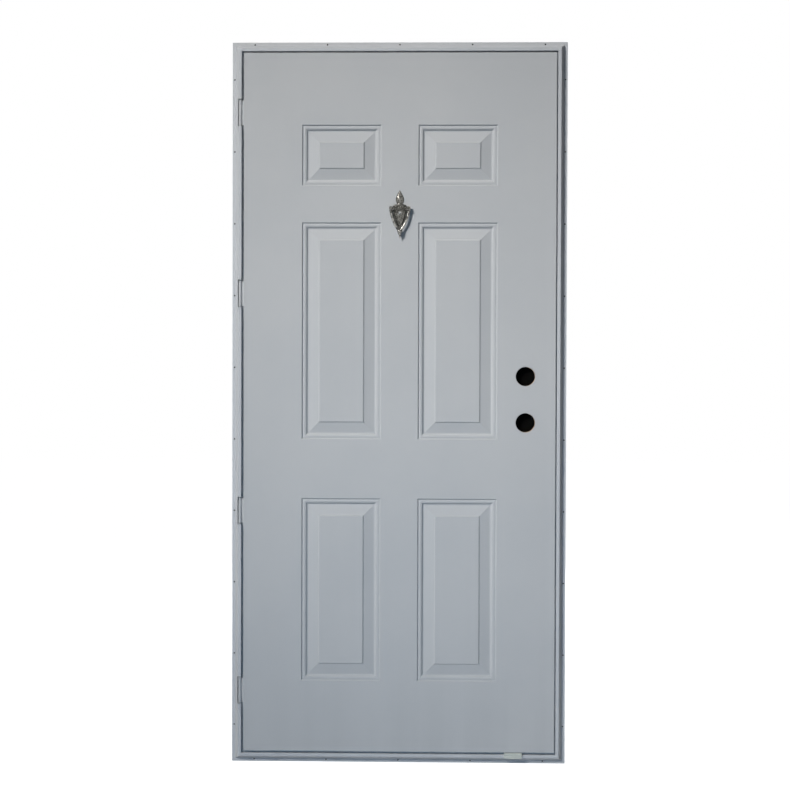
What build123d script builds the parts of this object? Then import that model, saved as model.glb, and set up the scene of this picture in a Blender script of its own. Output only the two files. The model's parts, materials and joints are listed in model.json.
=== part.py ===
from build123d import *
import os
from math import sqrt

# An outward-opening six-panel steel door in its extruded frame.
# Millimetres. X runs to the right seen from outside, Y into the house, Z up.
# The origin is on the wall plane, at the middle of the nailing fin's bottom edge.

# Frame
frame_width = 938.0
frame_height = 2022.0
frame_depth = 101.6
frame_wall = 1.6
fin_thickness = 1.6
fin_width = 8.6
rim_slope_run = 10.0
rim_face_width = 9.2
rim_projection = 20.0
rim_corner_radius = 1.5
landing_set_back = 12.0
landing_width = 24.0
leg_width = 12.0

# Nailing holes of the fin
fin_hole_diameter = 4.76
fin_hole_inset = 6.0
side_hole_pitch = 201.6
end_hole_pitch = 203.2
fin_hole_end = 50.0

# Corner keys inside the legs
key_reach = 70.0
key_width = 40.0
key_clearance = 0.2

# Weatherstrip, a hollow bulb on a stem that is pushed into a kerf of the landing
kerf_width = 2.6
kerf_depth = 4.4
kerf_inset = 5.0
stem_clearance = 0.2
bulb_foot = 7.0
bulb_clearance = 0.3
bulb_wall = 1.2

# Door
hinge_gap = 5.8
strike_gap = 3.2
head_gap = 4.2
sill_gap = 6.0
slab_thickness = 44.45
skin_thickness = 0.7
skin_edge_radius = 1.0
inner_return = 12.0
lip_width = 24.1
lip_thickness = 7.0
stile_width = 28.0
core_clearance = 0.2

# Panels, in two columns and three rows, from the bottom up; the middle row fills what is left
panel_width = 224.0
mullion_width = 101.1
bottom_rail_height = 198.0
bottom_panel_height = 515.0
lock_rail_height = 163.1
frieze_rail_height = 99.8
top_panel_height = 172.3
top_rail_height = 199.5

# Embossing, from a panel's edge inwards
edge_slope_run = 4.2
edge_depth = 3.4
bead_width = 8.3
groove_slope_run = 5.0
groove_depth = 8.0
groove_width = 3.5
bevel_run = 27.0
shoulder_depth = 2.4
shoulder_run = 5.0

# Lock preparation
lock_bore_diameter = 53.975
edge_bore_diameter = 25.4
backset = 60.3
latch_rise = 924.8
deadbolt_rise = 129.4
lock_block_width = 80.0
lock_block_height = 430.0
latch_slot_height = 30.0
latch_slot_width = 14.0
deadbolt_slot_height = 32.0
deadbolt_slot_width = 18.0

# Hinges
hinge_height = 69.85
hinge_row_rise = 3.3
outer_hinge_inset = 201.1
inner_hinge_offset = 304.4
knuckle_count = 5
knuckle_radius = 4.75
knuckle_gap = 0.3
barrel_set_in = 4.5
barrel_set_back = 8.0
pin_radius = 2.5
pin_clearance = 0.05
pin_head_height = 2.0
pin_head_radius = 4.2
pin_head_gap = 0.2
leaf_gap = 0.4
leaf_reach = 14.5
comb_clearance = 0.5
notch_clearance = 1.3
hinge_screw_pitch = 25.0
hinge_screw_count = 3
hinge_screw_radius = 1.9
hinge_screw_head_radius = 3.4
hinge_screw_length = 6.0
screw_clearance = 0.05

# Weep cover on the sill
weep_inset = 146.6
weep_width = 50.0
weep_projection = 5.4
weep_clearance = 0.6
weep_drop = 0.8
weep_hook = 6.0
weep_groove_radius = 1.3
weep_wall = 2.0
weep_slot_width = 30.0
weep_slot_height = 4.0

# Knocker
knocker_overlap = 48.1
knocker_height = 137.5
knocker_width = 58.5
knocker_flatten_share = 0.55
pivot_height_share = 0.607
pivot_stand_off = 9.0
bar_radius = 4.4
eye_radius = 6.8
eye_length = 7.5
eye_gap = 0.3
pivot_pin_radius = 1.5
pivot_pin_clearance = 0.05
pivot_pin_end = 0.5
bail_radius = 3.4
bail_lean = 2.0
drop_radius = 7.5
strike_clearance = 0.3
strike_pad_radius = 6.0
tongue_width = 8.0
bolt_radius = 2.5
bolt_clearance = 0.1
bolt_head_radius = 6.0
bolt_head_height = 2.5
upper_bolt_depth = 7.0
lower_bolt_depth_share = 0.75
upper_bolt_share = 0.655
lower_bolt_share = 0.145

# Door viewer in the knocker
viewer_share = 0.515
viewer_radius = 6.0
viewer_wall = 1.0
viewer_clearance = 0.2
viewer_stand_off = 13.4
bezel_radius = 7.0
bezel_height = 1.5
lens_opening_radius = 4.0
lens_thickness = 3.0
lens_crown = 0.8
eyepiece_radius = 9.5
eyepiece_height = 2.0
eyepiece_tube = 32.0
eyepiece_wall = 1.2

# One overrun serves every cut
overrun = 2.0

# Places that follow from the sizes above, measured inwards from the fin's edge
rim_start = fin_width + rim_slope_run
sight_width = rim_start + rim_face_width
leg_inner = sight_width + landing_width
leg_outer = leg_inner - leg_width
kerf_place = leg_inner - kerf_inset

# Levels along Y
face_y = -rim_projection
lip_back = face_y + lip_thickness
landing_y = face_y + landing_set_back
back_y = face_y + slab_thickness
mid_y = (face_y + back_y) / 2
bolt_y = (lip_back + back_y) / 2

# Edges of the door's face and of the body behind the lip
side_x = frame_width / 2
face_left = -side_x + sight_width + hinge_gap
face_right = side_x - sight_width - strike_gap
face_bottom = sight_width + sill_gap
face_top = frame_height - sight_width - head_gap
centre_x = (face_left + face_right) / 2
body_left = face_left + lip_width
body_right = face_right - lip_width
body_bottom = face_bottom + lip_width
body_top = face_top - lip_width
core_left = body_left + stile_width
core_right = body_right - stile_width
core_bottom = body_bottom + stile_width
core_top = body_top - stile_width

# Panel rows, and the places of the lock, the hinges, the weep cover and the knocker
frieze_bottom = face_top - top_rail_height - top_panel_height - frieze_rail_height
middle_panel_bottom = face_bottom + bottom_rail_height + bottom_panel_height + lock_rail_height
middle_panel_height = frieze_bottom - middle_panel_bottom
bore_x = body_right - backset
latch_z = face_bottom + latch_rise
deadbolt_z = latch_z + deadbolt_rise
lock_z = (latch_z + deadbolt_z) / 2
hinge_x = -side_x + sight_width - barrel_set_in
hinge_y = face_y + barrel_set_back
middle_z = frame_height / 2
outer_hinge_offset = middle_z - outer_hinge_inset
hinge_offsets = (-outer_hinge_offset, -inner_hinge_offset, inner_hinge_offset, outer_hinge_offset)
hinge_heights = [middle_z + hinge_row_rise + offset for offset in hinge_offsets]
leaf_thickness = (landing_y - lip_back - leaf_gap) / 2
leaf_end = -side_x + sight_width + leaf_reach
comb_x = hinge_x + knuckle_radius + comb_clearance
weep_x = side_x - weep_inset
knocker_z = frieze_bottom - knocker_overlap
knocker_half = knocker_width / 2
pivot_z = knocker_height * pivot_height_share
viewer_z = knocker_height * viewer_share
bar_half = knocker_half - eye_length - eye_gap
upper_bolt_z = knocker_height * upper_bolt_share
lower_bolt_z = knocker_height * lower_bolt_share
bail_y = -pivot_stand_off - bail_lean
strike_pad_height = -bail_y - drop_radius - strike_clearance


def block(x0, x1, y0, y1, z0, z1):
    """Box between two corners."""
    centre = Pos((x0 + x1) / 2, (y0 + y1) / 2, (z0 + z1) / 2)
    return centre * Box(x1 - x0, y1 - y0, z1 - z0)


def rod_y(radius, x, z, y0, y1):
    """Round bar along Y."""
    return Pos(x, (y0 + y1) / 2, z) * Cylinder(radius, y1 - y0, rotation=(90, 0, 0))


def rod_x(radius, y, z, x0, x1):
    """Round bar along X."""
    return Pos((x0 + x1) / 2, y, z) * Cylinder(radius, x1 - x0, rotation=(0, 90, 0))


def rod_z(radius, x, y, z0, z1):
    """Round bar along Z."""
    return Pos(x, y, (z0 + z1) / 2) * Cylinder(radius, z1 - z0)


def spread(count, pitch, middle):
    """Evenly spaced places about a middle."""
    return [middle + (i - (count - 1) / 2) * pitch for i in range(count)]


def outline(*points):
    """Flat face with straight edges."""
    return make_face(Polyline(*points, close=True))


def bar_with_mitres(section, length):
    """Section in (inset, Y) drawn along Z and cut at 45 degrees at both ends."""
    reach = leg_inner + overrun
    bar = extrude(section, amount=length, dir=(0, 0, 1))
    sides = outline((0, 0), (reach, reach), (reach, length - reach), (0, length))
    keep = Plane.XZ.offset(-frame_depth - overrun) * sides
    return bar & extrude(keep, amount=frame_depth + rim_projection + 2 * overrun, dir=(0, -1, 0))


def round_the_frame(side_bar, end_bar):
    """Two side bars and two end bars set round the opening."""
    hinge_side = Pos(-side_x, 0, 0) * side_bar
    sill_bar = Pos(side_x, 0, 0) * Rot(0, -90, 0) * end_bar
    strike_side = mirror(hinge_side, about=Plane.YZ)
    head_bar = mirror(sill_bar, about=Plane.XY.offset(middle_z))
    return hinge_side, strike_side, head_bar, sill_bar


def frame_section():
    """Hollow section of the frame: fin, sloped rim, landing with a kerf, and leg."""
    face = outline(
        (0, 0),
        (0, -fin_thickness),
        (fin_width, -fin_thickness),
        (rim_start, face_y),
        (sight_width, face_y),
        (sight_width, landing_y),
        (leg_inner, landing_y),
        (leg_inner, frame_depth),
        (leg_outer, frame_depth),
        (leg_outer, 0),
    )
    for corner in ((rim_start, face_y), (sight_width, face_y)):
        face = fillet(face.vertices().sort_by_distance(corner)[0], rim_corner_radius)
    lean_share = rim_slope_run / (rim_projection - fin_thickness)
    wall_across = frame_wall * sqrt(1 + lean_share**2)
    inner_end = leg_outer + frame_wall
    face -= outline(
        (fin_width + wall_across, -fin_thickness),
        (rim_start + wall_across - lean_share * frame_wall, face_y + frame_wall),
        (sight_width - frame_wall, face_y + frame_wall),
        (sight_width - frame_wall, landing_y + frame_wall),
        (inner_end, landing_y + frame_wall),
        (inner_end, -fin_thickness),
    )
    face -= outline(
        (inner_end, 0),
        (leg_inner - frame_wall, 0),
        (leg_inner - frame_wall, frame_depth - frame_wall),
        (inner_end, frame_depth - frame_wall),
    )
    face -= outline(
        (kerf_place - kerf_width / 2, landing_y - overrun),
        (kerf_place + kerf_width / 2, landing_y - overrun),
        (kerf_place + kerf_width / 2, landing_y + kerf_depth),
        (kerf_place - kerf_width / 2, landing_y + kerf_depth),
    )
    return face


def frame_bar(length, hole_pitch):
    """Mitred frame bar with as many nailing holes in its fin as its length takes."""
    bar = bar_with_mitres(frame_section(), length)
    hole_count = 1 + int((length - 2 * fin_hole_end) / hole_pitch)
    for place in spread(hole_count, hole_pitch, length / 2):
        bar -= rod_y(fin_hole_diameter / 2, fin_hole_inset, place, -fin_thickness - overrun, overrun)
    return bar


def hinge_notches():
    """Notches in the rim that make room for the hinge barrels."""
    room = knuckle_radius + notch_clearance
    half = hinge_height / 2 + pin_head_gap + pin_head_height + notch_clearance
    inner = -side_x + sight_width
    return [
        block(hinge_x - room, inner, face_y - overrun, hinge_y + room, z - half, z + half)
        for z in hinge_heights
    ]


def strike_slots():
    """Slots for the latch and the deadbolt through the leg of the strike jamb."""
    x0 = side_x - leg_inner - overrun
    x1 = side_x - leg_outer + overrun
    latch = latch_slot_height / 2
    latch_half = latch_slot_width / 2
    deadbolt = deadbolt_slot_height / 2
    deadbolt_half = deadbolt_slot_width / 2
    return [
        block(x0, x1, bolt_y - latch_half, bolt_y + latch_half, latch_z - latch, latch_z + latch),
        block(
            x0,
            x1,
            bolt_y - deadbolt_half,
            bolt_y + deadbolt_half,
            deadbolt_z - deadbolt,
            deadbolt_z + deadbolt,
        ),
    ]


def weep_slots():
    """Slots that drain the sill's landing through the rim, under the weep cover."""
    x0 = weep_x - weep_slot_width / 2
    x1 = weep_x + weep_slot_width / 2
    slot_bottom = (rim_start + sight_width - weep_slot_height) / 2
    front_end = face_y + frame_wall + overrun
    front = block(x0, x1, face_y - overrun, front_end, slot_bottom, slot_bottom + weep_slot_height)
    slot_top = landing_y - weep_slot_height
    back = block(x0, x1, slot_top, landing_y, sight_width - frame_wall - overrun, sight_width + overrun)
    return [front, back]


def corner_key():
    """L-shaped key in the bottom left corner of the legs."""
    near = leg_outer + frame_wall + key_clearance
    far = leg_inner - frame_wall - key_clearance
    end = near + key_reach
    shape = outline((near, near), (end, near), (end, far), (far, far), (far, end), (near, end))
    start = (frame_depth - key_width) / 2
    key = extrude(Plane.XZ.offset(-start) * shape, amount=key_width, dir=(0, 1, 0))
    return Pos(-side_x, 0, 0) * key


def seal_section():
    """Bulb and stem of the weatherstrip, in (inset, Y)."""
    crown = lip_back + bulb_clearance
    half = bulb_foot / 2
    left = (kerf_place - half, landing_y)
    right = (kerf_place + half, landing_y)
    foot = Line(right, left)
    bulb = ThreePointArc(left, (kerf_place, crown), right)
    rise = landing_y - crown
    stem_half = kerf_width / 2 - stem_clearance
    stem_end = landing_y + kerf_depth - stem_clearance
    section = make_face(Curve() + [foot, bulb])
    section += outline(
        (kerf_place - stem_half, landing_y),
        (kerf_place + stem_half, landing_y),
        (kerf_place + stem_half, stem_end),
        (kerf_place - stem_half, stem_end),
    )
    return section - Pos(kerf_place, crown + rise / 2) * Circle(rise / 2 - bulb_wall)


def panels():
    """Middle X, middle Z and height of each panel."""
    column = (mullion_width + panel_width) / 2
    places = []
    level = face_bottom + bottom_rail_height
    for height, rail in (
        (bottom_panel_height, lock_rail_height),
        (middle_panel_height, frieze_rail_height),
        (top_panel_height, 0),
    ):
        for x in (centre_x - column, centre_x + column):
            places.append((x, level + height / 2, height))
        level += height + rail
    return places


def emboss_profile():
    """Inset and depth of each bend of the embossing, from the panel's edge inwards."""
    bends = [(0, 0), (edge_slope_run, edge_depth)]
    inset = edge_slope_run + bead_width
    bends.append((inset, edge_depth))
    inset += groove_slope_run
    bends.append((inset, groove_depth))
    inset += groove_width
    bends.append((inset, groove_depth))
    inset += bevel_run
    bends.append((inset, shoulder_depth))
    inset += shoulder_run
    bends.append((inset, 0))
    return bends


emboss_width = emboss_profile()[-1][0]


def moulding(section, height):
    """Section in (inset, depth) run round a panel with mitred corners, on the plane Y = 0."""
    half_w = panel_width / 2
    half_h = height / 2
    path = Polyline(
        (0, 0, -half_h),
        (half_w, 0, -half_h),
        (half_w, 0, half_h),
        (-half_w, 0, half_h),
        (-half_w, 0, -half_h),
        close=True,
    )
    start = Plane(origin=(0, 0, -half_h), x_dir=(0, 0, 1), z_dir=(1, 0, 0))
    face = outline(*[(inset, -depth) for inset, depth in section])
    return sweep(start * face, path=path, transition=Transition.RIGHT)


def embossed_sheet(height):
    """Embossing of one panel in sheet, with its raised field, on the plane Y = 0."""
    front = emboss_profile()
    back = [(inset, depth + skin_thickness) for inset, depth in reversed(front)]
    half_w = panel_width / 2 - emboss_width
    half_h = height / 2 - emboss_width
    field = block(-half_w, half_w, 0, skin_thickness, -half_h, half_h)
    return moulding(front + back, height) + field


def emboss_pocket(height):
    """Room in the core for the embossing of one panel, on the plane Y = 0."""
    floor = [(inset, depth + skin_thickness + core_clearance) for inset, depth in emboss_profile()]
    return moulding([(0, 0)] + floor + [(emboss_width, 0)], height)


def to_inside(shape):
    """Mirror image of a front shape on the door's inner face."""
    return mirror(shape, about=Plane.XZ.offset(-mid_y))


def lock_bores():
    """Cross bores and edge bores for the latch and the deadbolt."""
    cuts = []
    for z in (latch_z, deadbolt_z):
        cuts.append(rod_y(lock_bore_diameter / 2, bore_x, z, face_y - overrun, back_y + overrun))
        cuts.append(rod_x(edge_bore_diameter / 2, bolt_y, z, bore_x, body_right + overrun))
    return cuts


def knocker_holes():
    """Holes through the slab for the knocker's bolts and the viewer."""
    y0 = face_y - overrun
    y1 = back_y + overrun
    return [
        rod_y(bolt_radius + bolt_clearance, centre_x, knocker_z + upper_bolt_z, y0, y1),
        rod_y(bolt_radius + bolt_clearance, centre_x, knocker_z + lower_bolt_z, y0, y1),
        rod_y(viewer_radius + viewer_clearance, centre_x, knocker_z + viewer_z, y0, y1),
    ]


def with_panels(sheet, front):
    """Sheet with the embossing of every panel let in."""
    for x, z, height in panels():
        half_h = height / 2
        half_w = panel_width / 2
        window = block(x - half_w, x + half_w, face_y - overrun, face_y + overrun, z - half_h, z + half_h)
        relief = Pos(x, face_y, z) * embossed_sheet(height)
        if front:
            sheet = sheet - window + relief
        else:
            sheet = sheet - to_inside(window) + to_inside(relief)
    for cut in lock_bores() + knocker_holes():
        sheet -= cut
    return sheet


def exterior_skin():
    """Outer steel skin, folded back round the lip."""
    tray = block(face_left, face_right, face_y, lip_back, face_bottom, face_top)
    tray = fillet(tray.faces().sort_by(Axis.Y)[0].edges(), skin_edge_radius)
    tray -= block(
        face_left + skin_thickness,
        face_right - skin_thickness,
        face_y + skin_thickness,
        lip_back + overrun,
        face_bottom + skin_thickness,
        face_top - skin_thickness,
    )
    return with_panels(tray, True)


def interior_skin():
    """Inner steel skin, folded forward round the body."""
    tray = block(body_left, body_right, back_y - inner_return, back_y, body_bottom, body_top)
    tray = fillet(tray.faces().sort_by(Axis.Y)[-1].edges(), skin_edge_radius)
    tray -= block(
        body_left + skin_thickness,
        body_right - skin_thickness,
        back_y - inner_return - overrun,
        back_y - skin_thickness,
        body_bottom + skin_thickness,
        body_top - skin_thickness,
    )
    return with_panels(tray, False)


def slab_inside():
    """Whole inside of the slab's body, narrower where the inner skin is folded round it."""
    t = skin_thickness
    step = back_y - inner_return
    body = block(body_left, body_right, face_y + t, step, body_bottom, body_top)
    inner = block(body_left + t, body_right - t, step, back_y - t, body_bottom + t, body_top - t)
    return body + inner


def slab_slice(x0, x1, z0, z1):
    """Part of the slab's inside between two X and two Z places."""
    return slab_inside() & block(x0, x1, face_y, back_y, z0, z1)


def lip_strip(x0, x1, z0, z1):
    """Strip behind the outer skin, where it stands out past the body."""
    return block(x0, x1, face_y + skin_thickness, lip_back, z0, z1)


def with_cuts(piece, cuts):
    """Piece with each hole, bore or slot cut."""
    for cut in cuts:
        piece -= cut
    return piece


def lock_block():
    """Solid block round the lock bores."""
    z0 = lock_z - lock_block_height / 2
    z1 = lock_z + lock_block_height / 2
    return with_cuts(slab_slice(core_right - lock_block_width, core_right, z0, z1), lock_bores())


def foam_core():
    """Insulating core with room for the embossing, the lock block and the knocker's holes."""
    core = slab_slice(core_left, core_right, core_bottom, core_top)
    z0 = lock_z - lock_block_height / 2
    z1 = lock_z + lock_block_height / 2
    core -= block(core_right - lock_block_width, core_right + overrun, face_y, back_y, z0, z1)
    for x, z, height in panels():
        pocket = Pos(x, face_y, z) * emboss_pocket(height)
        core = core - pocket - to_inside(pocket)
    return with_cuts(core, knocker_holes())


def countersunk(clearance, length):
    """Countersunk screw along +Z, its head flush at zero, or the hole for it."""
    head = Cone(
        hinge_screw_head_radius + clearance,
        hinge_screw_radius + clearance,
        leaf_thickness,
        align=(Align.CENTER, Align.CENTER, Align.MIN),
    )
    shank = rod_z(hinge_screw_radius + clearance, 0, 0, leaf_thickness, leaf_thickness + length)
    return head + shank


def hinge_screws(on_door, clearance, length):
    """Screws of one side of all hinges, or the holes for them."""
    x = (face_left + skin_thickness + leaf_end) / 2
    head_y = lip_back + leaf_thickness if on_door else landing_y - leaf_thickness
    turn = Rot(90, 0, 0) if on_door else Rot(-90, 0, 0)
    return [
        Pos(x, head_y, z) * turn * countersunk(clearance, length)
        for middle in hinge_heights
        for z in spread(hinge_screw_count, hinge_screw_pitch, middle)
    ]


def hinge_leaf(middle, on_door):
    """Leaf of one hinge with its knuckles: the odd ones on the door, the others on the frame."""
    bottom = middle - hinge_height / 2
    top = middle + hinge_height / 2
    knuckle = hinge_height / knuckle_count
    y0 = lip_back if on_door else landing_y - leaf_thickness
    leaf = block(comb_x, leaf_end, y0, y0 + leaf_thickness, bottom, top)
    root_x = hinge_x + (knuckle_radius + pin_radius) / 2
    for i in range(1 if on_door else 0, knuckle_count, 2):
        z0 = bottom + i * knuckle + knuckle_gap / 2
        z1 = z0 + knuckle - knuckle_gap
        leaf += block(root_x, comb_x, y0, y0 + leaf_thickness, z0, z1)
        leaf += rod_z(knuckle_radius, hinge_x, hinge_y, z0, z1)
    leaf -= rod_z(pin_radius + pin_clearance, hinge_x, hinge_y, bottom - overrun, top + overrun)
    return leaf


def hinge_pin(middle):
    """Pin of one hinge with a head at each end."""
    end = hinge_height / 2 + pin_head_gap
    pin = rod_z(pin_radius, hinge_x, hinge_y, middle - end, middle + end)
    pin += rod_z(pin_head_radius, hinge_x, hinge_y, middle + end, middle + end + pin_head_height)
    pin += rod_z(pin_head_radius, hinge_x, hinge_y, middle - end - pin_head_height, middle - end)
    return pin


def weep_cover():
    """Moulded hood over the sill's rim, hooked over the rim's inner edge, with a groove along its front."""
    x0 = weep_x - weep_width / 2
    x1 = weep_x + weep_width / 2
    top = face_bottom - weep_clearance
    bottom = rim_start - weep_drop
    front = face_y - weep_projection
    middle = (top + bottom) / 2
    hood = block(x0, x1, front, face_y, bottom, top)
    hood = fillet(hood.faces().sort_by(Axis.Y)[0].edges(), weep_groove_radius)
    hood += block(x0, x1, face_y, face_y + weep_hook, sight_width, top)
    hood -= rod_x(weep_groove_radius, front, middle, x0 - overrun, x1 + overrun)
    hood -= block(
        x0 + weep_wall,
        x1 - weep_wall,
        front + weep_wall,
        face_y,
        bottom - overrun,
        sight_width - weep_wall,
    )
    return hood


def turned(profile):
    """Flat half profile in (radius, height) turned through the front half circle and flattened."""
    half_turn = revolve(Plane.XZ * profile, axis=Axis((0, 0, 0), (0, 0, -1)), revolution_arc=180)
    return scale(half_turn, by=(1, knocker_flatten_share, 1))


# Radius as shares of half the knocker's width, height as shares of its height
flame_shares = ((0, 1.0), (0.2, 0.925), (0.385, 0.825), (0.27, 0.725))
shoulder_shares = ((0.3, 0.7), (0.58, 0.693), (0.72, 0.64))
cup_shares = ((0.72, 0.55), (0.66, 0.53), (0.5, 0.385), (0.15, 0.24))
drop_bulge_share = 0.145
drop_waist_shares = (0.34, 0.45)
bail_middle_shares = (0.62, 0.375)
bail_end_shares = (0.12, 0.18)


def in_knocker(shares):
    """Radius and height of a point of the knocker."""
    return shares[0] * knocker_half, shares[1] * knocker_height


def knocker_base():
    """Urn with its flame finial, pivot bar, tongue and strike pad, on the plane Y = 0."""
    flame = [in_knocker(point) for point in flame_shares]
    shoulder = [in_knocker(point) for point in shoulder_shares]
    cup = [in_knocker(point) for point in cup_shares]
    foot = (0, cup[-1][1])
    edges = Curve() + [
        Spline(*flame),
        Line(flame[-1], shoulder[0]),
        ThreePointArc(*shoulder),
        Line(shoulder[-1], cup[0]),
        Line(cup[0], cup[1]),
        ThreePointArc(*cup[1:]),
        Line(cup[-1], foot),
        Line(foot, flame[0]),
    ]
    base = turned(make_face(edges))
    base += rod_x(bar_radius, -pivot_stand_off, pivot_z, -bar_half, bar_half)
    half = tongue_width / 2
    base += block(-half, half, -strike_pad_height, 0, lower_bolt_z, viewer_z)
    base += rod_y(strike_pad_radius, 0, lower_bolt_z, -strike_pad_height, 0)
    bore = pivot_pin_radius + pivot_pin_clearance
    base -= rod_x(bore, -pivot_stand_off, pivot_z, -knocker_half, knocker_half)
    base -= rod_y(viewer_radius + viewer_clearance, 0, viewer_z, -viewer_stand_off - overrun, overrun)
    hole = bolt_radius + bolt_clearance
    base -= rod_y(hole, 0, upper_bolt_z, -upper_bolt_depth, overrun)
    base -= rod_y(hole, 0, lower_bolt_z, -strike_pad_height * lower_bolt_depth_share, overrun)
    return base


def knocker_striker():
    """Two arms from the eyes down to the drop that strikes the pad, on the plane Y = 0."""
    eye_middle = knocker_half - eye_length / 2
    bend_x, bend_z = in_knocker(bail_middle_shares)
    end_x, end_z = in_knocker(bail_end_shares)
    start = (eye_middle, -pivot_stand_off, pivot_z)
    path = ThreePointArc(start, (bend_x, bail_y, bend_z), (end_x, bail_y, end_z))
    arm = sweep(Plane(origin=path @ 0, z_dir=path % 0) * Circle(bail_radius), path=path)
    eye_start = knocker_half - eye_length
    arm += rod_x(eye_radius, -pivot_stand_off, pivot_z, eye_start, knocker_half)
    bore = pivot_pin_radius + pivot_pin_clearance
    arm -= rod_x(bore, -pivot_stand_off, pivot_z, eye_start - overrun, knocker_half + overrun)
    bulge = knocker_height * drop_bulge_share
    top = bulge + drop_radius
    waist = (drop_radius * drop_waist_shares[0], bulge * drop_waist_shares[1])
    edges = Curve() + [
        CenterArc((0, bulge), drop_radius, 0, 90),
        Spline((drop_radius, bulge), waist, (0, 0)),
        Line((0, 0), (0, top)),
    ]
    drop = Pos(0, bail_y, 0) * revolve(Plane.XZ * make_face(edges), axis=Axis.Z)
    return drop + arm + mirror(arm, about=Plane.YZ)


def knocker_pivot_pin():
    """Pin through the bar and both eyes."""
    end = knocker_half - pivot_pin_end
    return rod_x(pivot_pin_radius, -pivot_stand_off, pivot_z, -end, end)


def knocker_bolts():
    """Bolts from inside the house that hold the knocker."""
    inside = slab_thickness + bolt_head_height
    lower_depth = strike_pad_height * lower_bolt_depth_share
    bolts = []
    for z, depth in ((upper_bolt_z, upper_bolt_depth), (lower_bolt_z, lower_depth)):
        shank = rod_y(bolt_radius, 0, z, bolt_clearance - depth, slab_thickness)
        bolts.append(shank + rod_y(bolt_head_radius, 0, z, slab_thickness, inside))
    return Compound(bolts)


def viewer_barrel():
    """Outer tube of the viewer with its bezel, on the plane Y = 0."""
    front = -viewer_stand_off
    barrel = rod_y(viewer_radius, 0, viewer_z, front + bezel_height, slab_thickness / 2)
    barrel += rod_y(bezel_radius, 0, viewer_z, front, front + bezel_height)
    barrel -= rod_y(viewer_radius - viewer_wall, 0, viewer_z, front + bezel_height, slab_thickness)
    return barrel - rod_y(lens_opening_radius, 0, viewer_z, front - overrun, slab_thickness)


def viewer_lens():
    """Domed lens behind the bezel."""
    seat = -viewer_stand_off + bezel_height
    radius = viewer_radius - viewer_wall - pin_clearance
    dome_foot = lens_opening_radius - pin_clearance
    crown = bezel_height + lens_crown
    dome_radius = (dome_foot**2 + crown**2) / (2 * crown)
    side = dome_foot / 2
    side_rise = sqrt(dome_radius**2 - side**2) - dome_radius + crown
    edges = Curve() + [
        Line((0, -lens_thickness), (radius, -lens_thickness)),
        Line((radius, -lens_thickness), (radius, 0)),
        Line((radius, 0), (dome_foot, 0)),
        ThreePointArc((dome_foot, 0), (side, side_rise), (0, crown)),
        Line((0, crown), (0, -lens_thickness)),
    ]
    lens = revolve(Plane.XZ * make_face(edges), axis=Axis.Z)
    return Pos(0, seat, viewer_z) * Rot(90, 0, 0) * lens


def viewer_eyepiece():
    """Inner tube of the viewer with its flange on the inside of the door."""
    tube_radius = viewer_radius - viewer_wall - pin_clearance
    eyepiece = rod_y(tube_radius, 0, viewer_z, slab_thickness - eyepiece_tube, slab_thickness)
    eyepiece += rod_y(eyepiece_radius, 0, viewer_z, slab_thickness, slab_thickness + eyepiece_height)
    bore = tube_radius - eyepiece_wall
    return eyepiece - rod_y(bore, 0, viewer_z, 0, slab_thickness + eyepiece_height + overrun)


def save(name, shape):
    """Write one piece."""
    export_step(shape, f"parts/{name}.step")


os.makedirs("parts", exist_ok=True)

hinge_jamb, strike_jamb, head, sill = round_the_frame(
    frame_bar(frame_height, side_hole_pitch), frame_bar(frame_width, end_hole_pitch)
)
hole_depth = hinge_screw_length + overrun
jamb_cuts = hinge_notches() + hinge_screws(False, screw_clearance, hole_depth)
save("hinge_jamb", with_cuts(hinge_jamb, jamb_cuts))
save("strike_jamb", with_cuts(strike_jamb, strike_slots()))
save("head", head)
save("sill", with_cuts(sill, weep_slots()))
save("weep_cover", weep_cover())

upside_down = Plane.XY.offset(middle_z)
bottom_left_key = corner_key()
bottom_right_key = mirror(bottom_left_key, about=Plane.YZ)
keys = (
    bottom_left_key,
    bottom_right_key,
    mirror(bottom_left_key, about=upside_down),
    mirror(bottom_right_key, about=upside_down),
)
for number, key in enumerate(keys, 1):
    save(f"corner_key_{number}", key)

seals = round_the_frame(
    bar_with_mitres(seal_section(), frame_height), bar_with_mitres(seal_section(), frame_width)
)
for place, seal in zip(("hinge", "strike", "head", "sill"), seals):
    save(f"weatherstrip_{place}", seal)

for number, middle in enumerate(hinge_heights, 1):
    for side, on_door in (("frame", False), ("door", True)):
        holes = hinge_screws(on_door, screw_clearance, hole_depth)
        save(f"hinge_{number}_{side}_leaf", with_cuts(hinge_leaf(middle, on_door), holes))
    save(f"hinge_{number}_pin", hinge_pin(middle))
save("hinge_frame_screws", Compound(hinge_screws(False, 0, hinge_screw_length)))
save("hinge_door_screws", Compound(hinge_screws(True, 0, hinge_screw_length - skin_thickness)))

save("exterior_skin", exterior_skin())
save("interior_skin", interior_skin())
save("foam_core", foam_core())
save("lock_block", lock_block())
lock_stile = slab_slice(core_right, body_right, body_bottom, body_top)
save("hinge_stile", slab_slice(body_left, core_left, body_bottom, body_top))
save("lock_stile", with_cuts(lock_stile, lock_bores()))
save("top_rail", slab_slice(core_left, core_right, core_top, body_top))
save("bottom_rail", slab_slice(core_left, core_right, body_bottom, core_bottom))

lip_left = face_left + skin_thickness
lip_right = face_right - skin_thickness
lip_bottom = face_bottom + skin_thickness
lip_top = face_top - skin_thickness
hinge_lip = lip_strip(lip_left, body_left, lip_bottom, lip_top)
save("hinge_lip", with_cuts(hinge_lip, hinge_screws(True, screw_clearance, hinge_screw_length)))
save("lock_lip", lip_strip(body_right, lip_right, lip_bottom, lip_top))
save("top_lip", lip_strip(body_left, body_right, body_top, lip_top))
save("bottom_lip", lip_strip(body_left, body_right, lip_bottom, body_bottom))

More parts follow.
